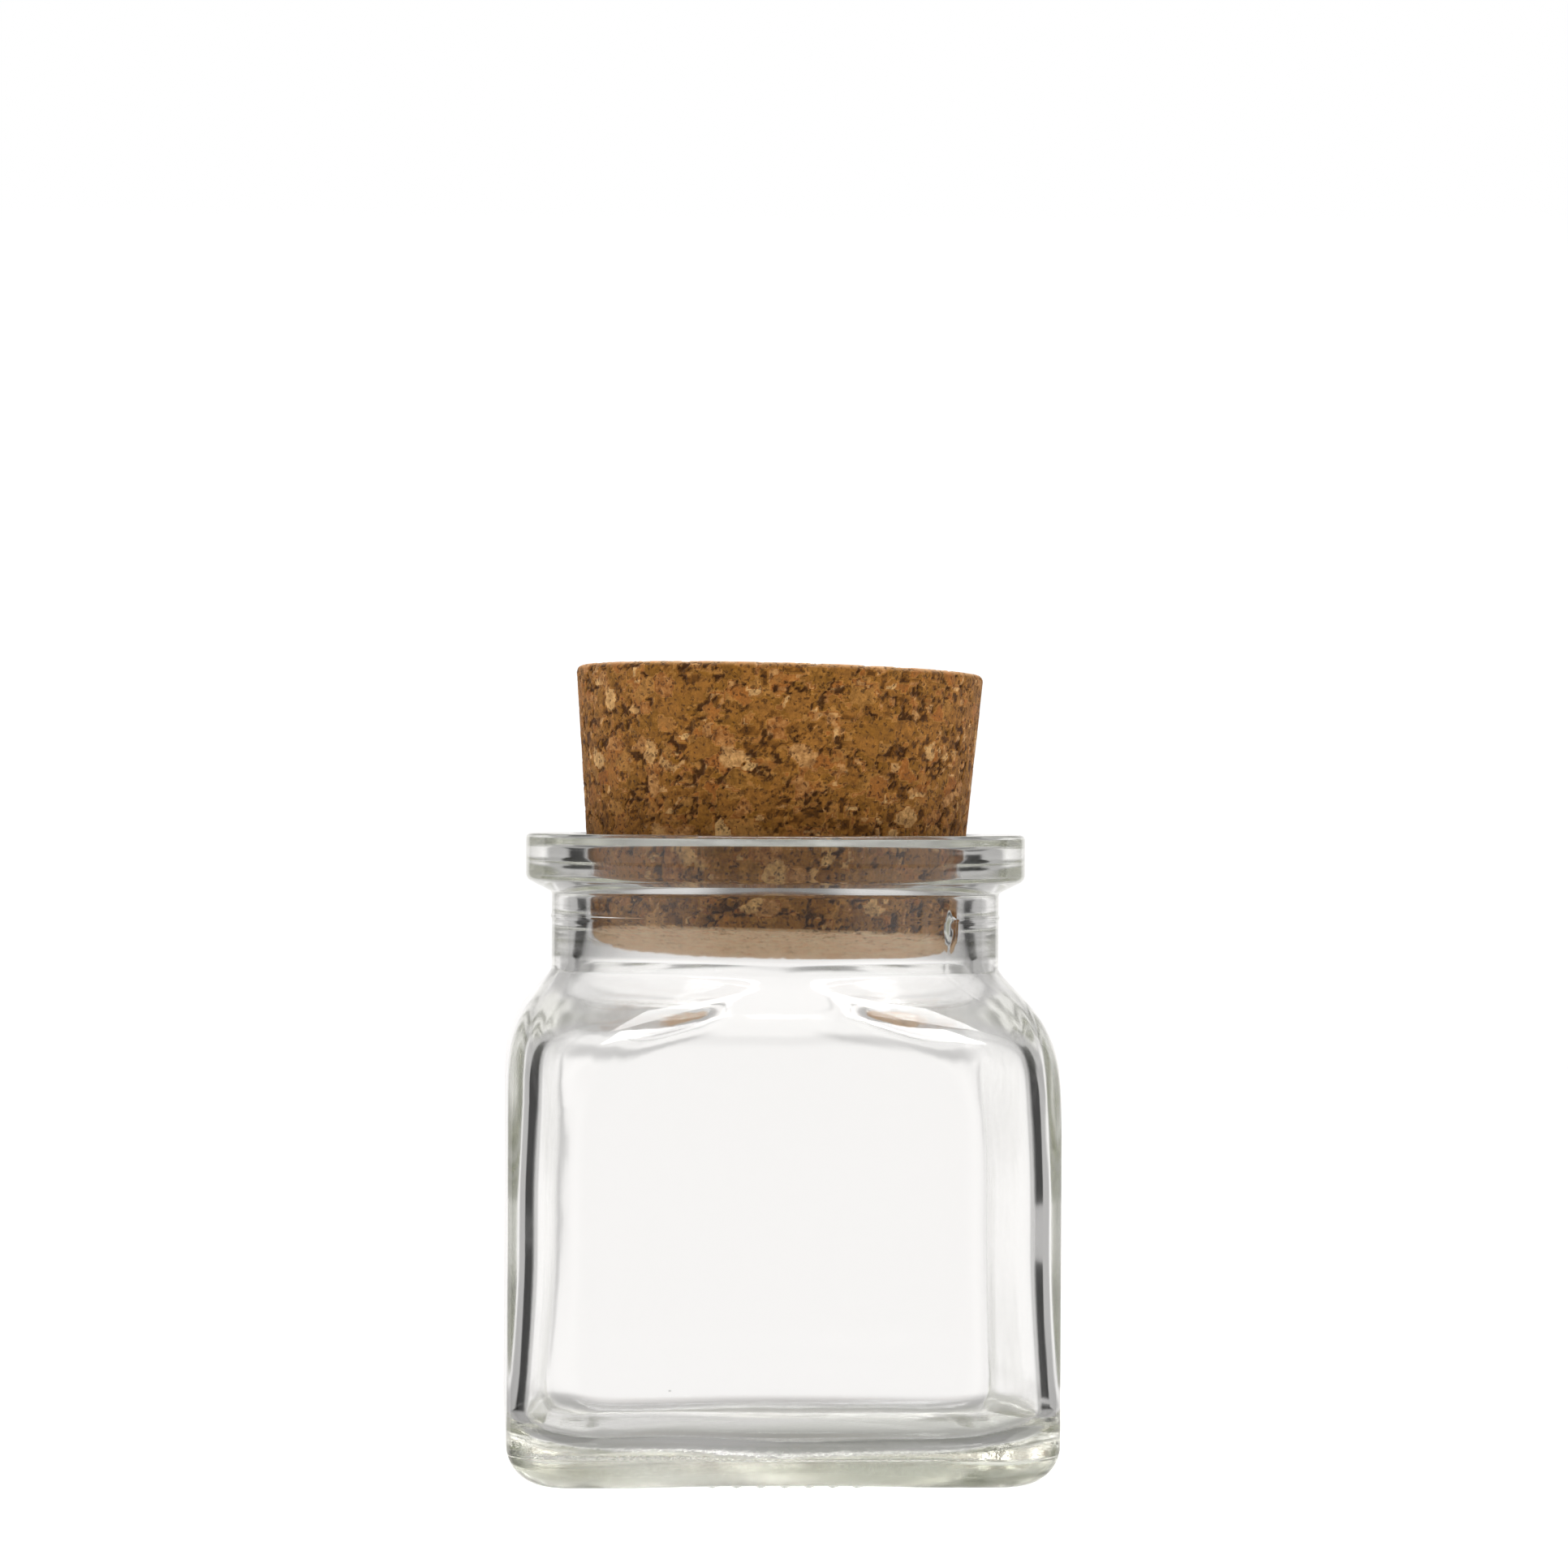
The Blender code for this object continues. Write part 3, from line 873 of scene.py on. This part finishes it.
bent = bend(cork_points * (1.0, 1.0, 1.25), 0.45, 1.3, 21)
big_first, big_second, big_third, big_label = nearest_seeds(bent, GRANULE, 31)
small_first, small_second, small_third, small_label = nearest_seeds(bend(bent, 0.2, 0.6, 25), CRUMB, 41)
crumbly = big_label > WHOLE_SHARE
big_joint = (big_second - big_first) * GRANULE
small_joint = (small_second - small_first) * CRUMB
joint = np.where(crumbly, np.minimum(big_joint, small_joint), big_joint)
big_corner = (big_third - big_first) * GRANULE
small_corner = (small_third - small_first) * CRUMB
corner_gap = np.where(crumbly, np.minimum(big_corner, small_corner), big_corner)
crumb_tone = np.mod(small_label * 7.3 + big_label, 1.0)
whole_tone = 0.28 + 0.72 * np.mod(big_label * 9.7, 1.0)
granule_tone = np.where(crumbly, crumb_tone, whole_tone)
patchiness = soft_noise(cork_points, 1.1, 51) + 0.6 * soft_noise(cork_points, 0.5, 52)
openness = smoothstep(patchiness, -0.35, 0.6)
pits = (1.0 - smoothstep(corner_gap, *PIT_WIDTH)) * openness
lines = (1.0 - smoothstep(joint, *JOINT_WIDTH)) * smoothstep(openness, 0.6, 1.0) * JOINT_DEPTH
gap = np.maximum(pits, lines)
torn = crumbly & (np.mod(small_label * 13.7, 1.0) > 1.0 - TORN_SHARE)
gap = np.maximum(gap, np.where(torn, smoothstep(small_joint, 0.05, 0.35) * 0.8, 0.0))
print(f"gaps cover {100 * (gap > 0.5).mean():.0f}% of the cork")

# %% [markdown]
# Gaps are pits of a few tenths of a millimetre, and whole granules stand a hair higher or lower.
# The edge of the lower end is chipped, because it is pushed through the glass mouth again and again.

# %% The cork's relief and its place in the neck
PIT_DEPTH = 0.24
CHIP_DEPTH = 0.55
CHIP_HEIGHT = 0.9
CHIPPED_EDGE = (16.2, 17.4)
GRANULE_RELIEF = 0.05


def cork_normals(points):
    """Outward direction of the plain cork: sideways on its side, up or down on its ends, blended between."""
    flat = np.linalg.norm(points[:, :2], axis=1)
    sideways = points[:, :2] / np.maximum(flat, 1e-6)[:, None]
    edge = cork_radius(points[:, 2])
    near_side = smoothstep(flat, edge - 0.6, edge - 0.1)
    upward = smoothstep(points[:, 2], top - 0.4, top)
    downward = smoothstep(-points[:, 2], -bottom - 0.4, -bottom)
    direction = np.column_stack([sideways * near_side[:, None], upward - downward])
    return direction / np.maximum(np.linalg.norm(direction, axis=1), 1e-6)[:, None]


outward = cork_normals(cork_points)
height_of_granule = (granule_tone - 1.0) * GRANULE_RELIEF
from_bottom = cork_points[:, 2] - bottom
chip = smoothstep(soft_noise(cork_points, 1.5, 61), 0.0, 0.8)
chip = chip * (1.0 - smoothstep(from_bottom, 0.0, CHIP_HEIGHT))
on_edge = smoothstep(np.linalg.norm(cork_points[:, :2], axis=1), *CHIPPED_EDGE)
cork_relief = height_of_granule - PIT_DEPTH * gap - CHIP_DEPTH * chip * on_edge
cork_points = cork_points + outward * cork_relief[:, None]

lean_axis = (-math.sin(CORK_LEAN_AZIMUTH), math.cos(CORK_LEAN_AZIMUTH), 0.0)
lean = np.array(Matrix.Rotation(CORK_LEAN, 3, lean_axis))
cork_points = cork_points @ lean.T + (0.0, 0.0, SEAT_HEIGHT)
print("cork heights:", cork_points[:, 2].min().round(2), cork_points[:, 2].max().round(2))

# %% [markdown]
# ## Cork colour
#
# Every granule keeps the colour of its own bit of bark: pinkish tan, ochre, olive or red-brown. The
# gaps are dark brown because light dies in them. The mesh hands each point's granule and gap to the
# shader as attributes, and the shader adds what is finer than the mesh: ragged edges to the gaps,
# dark specks of bark, and the faint mottling of the cells. The ends are cut and not ground, so they
# are paler, with a fibrous grain. Their pale colour is also brightened as painted light from below,
# for the light the underside gets from the white plate. The upper end takes less of that pale
# colour, so there the granules show more.

# %% Cork
GRANULE_STOPS = (
    (0.0, (0.09, 0.032, 0.005)),
    (0.14, (0.215, 0.084, 0.012)),
    (0.34, (0.38, 0.16, 0.03)),
    (0.5, (0.275, 0.117, 0.015)),
    (0.66, (0.48, 0.222, 0.054)),
    (0.82, (0.36, 0.124, 0.022)),
    (1.0, (0.72, 0.42, 0.16)),
)
# The cut ends' pale colour: partly the real paler cut, partly painted light from below, up to full white
# albedo.
CUT_AND_UNDERLIGHT_STOPS = ((0.34, (0.88, 0.41, 0.2)), (0.47, (1.0, 0.6, 0.35)), (0.62, (1.0, 0.74, 0.48)))
GAP_COLOUR = (0.06, 0.02, 0.003, 1.0)
CUT_GAP_COLOUR = (0.3, 0.13, 0.05, 1.0)
FIBRE_STRETCH = (1.0, 4.0, 4.0)


def cork_material():
    """Ground cork granules: colours by granule, dark gaps and specks, and paler cut ends brightened with
    painted light from below.
    """
    material, graph = new_material("cork_granules")
    place = graph.place_in_mm()
    tone = graph.add("Attribute", {"attribute_name": "granule"}, None, output="Fac")
    gap_here = graph.add("Attribute", {"attribute_name": "gap"}, None, output="Fac")
    end_here = graph.add("Attribute", {"attribute_name": "end"}, None, output="Fac")
    rise = graph.add("SeparateXYZ", None, {0: place}, output="Z")
    mottle = noise(graph, place, 1.5, 5.0, 0.65)
    grit = noise(graph, place, 4.5, 3.0, 0.6)
    warp = graph.add("TexNoise", None, {"Vector": place, "Scale": 1.9, "Detail": 2.0}, output="Color")
    warped = graph.add("VectorMath", {"operation": "MULTIPLY_ADD"}, {0: warp, 1: (0.9, 0.9, 0.9), 2: place})
    colours = graph.add("ValToRGB", {"stops": GRANULE_STOPS}, {"Fac": tone + (mottle - 0.5) * 0.22})
    shade = mottle.between(0.3, 0.72) * 0.45 + grit.between(0.3, 0.7) * 0.25 + 0.55
    body = graph.mix(1.0, colours, graph.grey(shade), "MULTIPLY")
    flecks = graph.add("TexVoronoi", None, {"Vector": warped, "Scale": 1.8})
    fleck = (1.0 - (flecks + (grit - 0.5) * 0.55).between(0.12, 0.4)) * mottle.between(0.34, 0.48)
    ragged = (gap_here + (grit - 0.5) * 0.9).between(0.3, 0.8)
    darkness = ragged.math("MAXIMUM", fleck * 0.7)
    ground = graph.mix(darkness * 0.93, body, GAP_COLOUR)
    fibres = noise(graph, graph.place_in_mm(FIBRE_STRETCH), 0.7, 6.0, 0.7)
    cut_and_underlight = graph.add("ValToRGB", {"stops": CUT_AND_UNDERLIGHT_STOPS}, {"Fac": fibres})
    cut_grain_and_underlight = graph.mix(0.5, cut_and_underlight, graph.mix(1.0, cut_and_underlight, colours, "SCREEN"))
    cut_face_and_underlight = graph.mix(darkness * 0.65, cut_grain_and_underlight, CUT_GAP_COLOUR)
    # The painted light from below belongs to the lower end, so the top end takes less of the pale end colour.
    near_top_end = rise.between(60.0, 68.0)
    colour = graph.mix(end_here * (1.0 - near_top_end * 0.6), ground, cut_face_and_underlight)
    depth = grit * 0.1 - darkness * 0.22 + fibres * end_here * 0.1
    normal = graph.add("Bump", None, {"Height": depth, "Strength": 0.8, "Distance": MM})
    surface = graph.add("BsdfPrincipled", None, {
        "Base Color": colour,
        "Roughness": 0.72 + mottle * 0.2,
        "IOR": 1.4,
        "Specular IOR Level": 0.2,
        "Sheen Weight": 0.07,
        "Sheen Roughness": 0.5,
        "Normal": normal,
    })
    graph.add("OutputMaterial", None, {"Surface": surface})
    return material


no_triangles = np.zeros((0, 3), int)
cork = make_piece("cork_granule_stopper", cork_points, cork_quads, no_triangles, cork_material())


def add_attribute(piece, name, values):
    """A number at each point of a piece, which its material reads by name."""
    attribute = piece.data.attributes.new(name, "FLOAT", "POINT")
    attribute.data.foreach_set("value", values.astype(np.float32))


add_attribute(cork, "granule", granule_tone)
add_attribute(cork, "gap", gap)
add_attribute(cork, "end", np.abs(outward[:, 2]))
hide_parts("cork_stopper")
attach(cork, "stopper")

# %% [markdown]
# ## The camera
#
# The photograph was taken with a long lens, level with the lower part of the cork, a few degrees to
# the left of square on. A long lens keeps the jar's upright edges parallel. The camera hangs a
# hair off level, as the tilt of the jar's foot in the picture shows.

# %% Camera
PICTURE_WIDTH = 1932
PIXELS_PER_MM = 12.8
CAMERA_DISTANCE = 560.0
CAMERA_HEIGHT = 65.2
CAMERA_TURN = math.radians(3.15)
CAMERA_ROLL = math.radians(0.3)
AXIS_PIXEL = 956
SENSOR_WIDTH = 36.0

forward = Vector((math.sin(CAMERA_TURN), math.cos(CAMERA_TURN), 0.0))
rightward = Vector((math.cos(CAMERA_TURN), -math.sin(CAMERA_TURN), 0.0))
sideways = (PICTURE_WIDTH / 2 - AXIS_PIXEL) / PIXELS_PER_MM
camera_data = bpy.data.cameras.new("camera")
camera_data.sensor_width = SENSOR_WIDTH
camera_data.lens = SENSOR_WIDTH * CAMERA_DISTANCE * PIXELS_PER_MM / PICTURE_WIDTH
camera = bpy.data.objects.new("camera", camera_data)
scene.collection.objects.link(camera)
camera.location = (rightward * sideways - forward * CAMERA_DISTANCE + Vector((0, 0, CAMERA_HEIGHT))) * MM
camera.rotation_mode = "QUATERNION"
level = forward.to_track_quat("-Z", "Y")
camera.rotation_quaternion = Matrix.Rotation(-CAMERA_ROLL, 3, forward).to_quaternion() @ level
scene.camera = camera
print(f"lens {camera_data.lens:.1f} mm at {CAMERA_DISTANCE} mm")

# %% [markdown]
# ## The studio
#
# Glass has no colour of its own: it shows the room. In the photograph a white panel stands behind
# the jar, with dimmer cloth beside it, and a dark flag hangs to either side from about 45 to 75
# degrees. The upright corners of the jar bend the flags in as thin dark lines, and narrow gaps in
# the flags show as the pale breaks in those lines. A round neck bends light up and down more than
# flat sides do, so the flags start nearer to the panel high up and low down. Little light comes from
# the front, which keeps the cork's colour full behind the glass. The world below is that room as a
# function of direction, the azimuth from the line of sight and the height above the horizon.

# %% World
TENT = 0.48
TENT_TOP = 0.85
TENT_SIDE = 0.7
TENT_FRONT = 0.24
BESIDE = (84.0, 100.0)
IN_FRONT = (125.0, 155.0)
OVERHEAD = (30.0, 70.0)
BELOW = (25.0, 50.0)
BELOW_DIMMER = 0.15
PANEL = 1.06
PANEL_EDGE = (17.0, 25.0)
PANEL_TOP = (3.0, 16.0)
PANEL_FOOT = (12.0, 30.0)
FLAG_START = (44.5, 48.5)
FLAG_END = (66.0, 84.0)
FLAG_LEAN = 14.0
FLAG_LEANS = (3.0, 20.0)
FLAG_TOP = (22.0, 34.0)
FLAG_FOOT = (7.0, 20.0)
FLAG_FOOT_PALER = 0.75
FLAG_DARKNESS = 0.985
RIGHT_GAP = (2.7, 3.3, 5.2, 5.8)
RIGHT_SLIT = (6.12, 6.2, 6.3, 6.38)
LEFT_SLIT = (4.62, 4.68, 4.78, 4.84)


def band(signal, start, full, fading, end):
    """1 from full to fading, and 0 before start and after end."""
    return signal.between(start, full) * (1.0 - signal.between(fading, end))


def studio_world():
    """Brightness by direction: azimuth from the line of sight and height above the horizon, in degrees."""
    world = bpy.data.worlds.new("studio")
    scene.world = world
    graph = Graph(world)
    ray = graph.add("TexCoord", output="Generated")
    ahead = graph.add("VectorMath", {"operation": "DOT_PRODUCT"}, {0: ray, 1: forward}, output="Value")
    right = graph.add("VectorMath", {"operation": "DOT_PRODUCT"}, {0: ray, 1: rightward}, output="Value")
    up = graph.add("SeparateXYZ", None, {0: ray}, output="Z")
    azimuth = right.math("ARCTAN2", ahead) * math.degrees(1.0)
    elevation = up.math("ARCSINE") * math.degrees(1.0)
    aside = azimuth.math("ABSOLUTE")
    down = elevation * -1.0
    to_side = aside.between(*BESIDE) * (TENT_SIDE - TENT)
    to_front = aside.between(*IN_FRONT) * (TENT_FRONT - TENT_SIDE)
    overhead = elevation.between(*OVERHEAD)
    tent = (to_side + to_front + TENT) * (1.0 - overhead) + overhead * TENT_TOP
    tent = tent * (1.0 - down.between(*BELOW) * BELOW_DIMMER)
    panel = (1.0 - elevation.between(*PANEL_TOP)) * (1.0 - down.between(*PANEL_FOOT))
    panel = panel * (1.0 - aside.between(*PANEL_EDGE))
    light = tent * (1.0 - panel) + panel * PANEL
    leaning = aside + elevation.math("ABSOLUTE").between(*FLAG_LEANS) * FLAG_LEAN
    flags = leaning.between(*FLAG_START) * (1.0 - aside.between(*FLAG_END))
    flags = flags * (1.0 - elevation.between(*FLAG_TOP))
    flags = flags * (1.0 - down.between(*FLAG_FOOT) * FLAG_FOOT_PALER)
    to_right = azimuth.between(30.0, 34.0)
    right_gaps = to_right * (band(down, *RIGHT_GAP) + band(down, *RIGHT_SLIT))
    left_gaps = (1.0 - to_right) * band(down, *LEFT_SLIT)
    light = light * (1.0 - flags * (1.0 - right_gaps - left_gaps) * FLAG_DARKNESS)
    seen = graph.add("LightPath", output="Is Camera Ray")
    tint = graph.mix(seen, (1.0, 0.985, 0.975, 1.0), CLEAR)
    background = graph.add("Background", None, {"Color": tint, "Strength": light.math("MAXIMUM", seen)})
    graph.add("OutputWorld", None, {"Surface": background})


studio_world()
print(f"panel to {PANEL_EDGE[1]} degrees, flags from {FLAG_START[0]} to {FLAG_END[1]}")

# %% [markdown]
# The jar stands on a pale plate that glows a little, as the acrylic plates of product photography
# do, so the ground stays white up to the horizon. One large soft lamp hangs above. Light may pass
# many surfaces of glass, and total reflections count as glossy ones, so both limits are high.

# %% Floor and lamp
def make_floor(size=1.6, drop=0.00002):
    """A flat plate just under the jar."""
    material, graph = new_material("pale_plate")
    place = graph.place_in_mm()
    shade = noise(graph, place, 0.05, 2.0) * 0.02 + 0.86
    diffuse = graph.add("BsdfDiffuse", None, {"Color": graph.grey(shade)})
    glow = graph.add("Emission", None, {"Color": (1.0, 0.998, 0.995, 1.0), "Strength": 0.3})
    graph.add("OutputMaterial", None, {"Surface": graph.add("AddShader", None, {0: diffuse, 1: glow})})
    mesh = bpy.data.meshes.new("floor")
    corners = [(x * size / 2, y * size / 2, -drop) for x, y in ((-1, -1), (1, -1), (1, 1), (-1, 1))]
    mesh.from_pydata(corners, [], [(0, 1, 2, 3)])
    mesh.materials.append(material)
    floor = bpy.data.objects.new("floor", mesh)
    scene.collection.objects.link(floor)
    floor.visible_transmission = False
    floor.visible_glossy = False
    floor.visible_shadow = False


def make_lamp(name, place, aim, size, watts):
    """A square soft lamp that looks at a point."""
    data = bpy.data.lights.new(name, "AREA")
    data.shape = "SQUARE"
    data.size = size
    data.energy = watts
    lamp = bpy.data.objects.new(name, data)
    lamp.location = place
    lamp.rotation_euler = (Vector(aim) - Vector(place)).to_track_quat("-Z", "Y").to_euler()
    scene.collection.objects.link(lamp)


make_floor()
make_lamp("top_softbox", place=(0.05, 0.10, 0.75), aim=(0.0, 0.0, 0.04), size=0.5, watts=5.0)
scene.view_settings.view_transform = "Standard"
scene.cycles.max_bounces = 64
scene.cycles.transmission_bounces = 32
scene.cycles.glossy_bounces = 64
print(f"light paths: {scene.cycles.max_bounces} bounces, {scene.cycles.transmission_bounces} through glass")
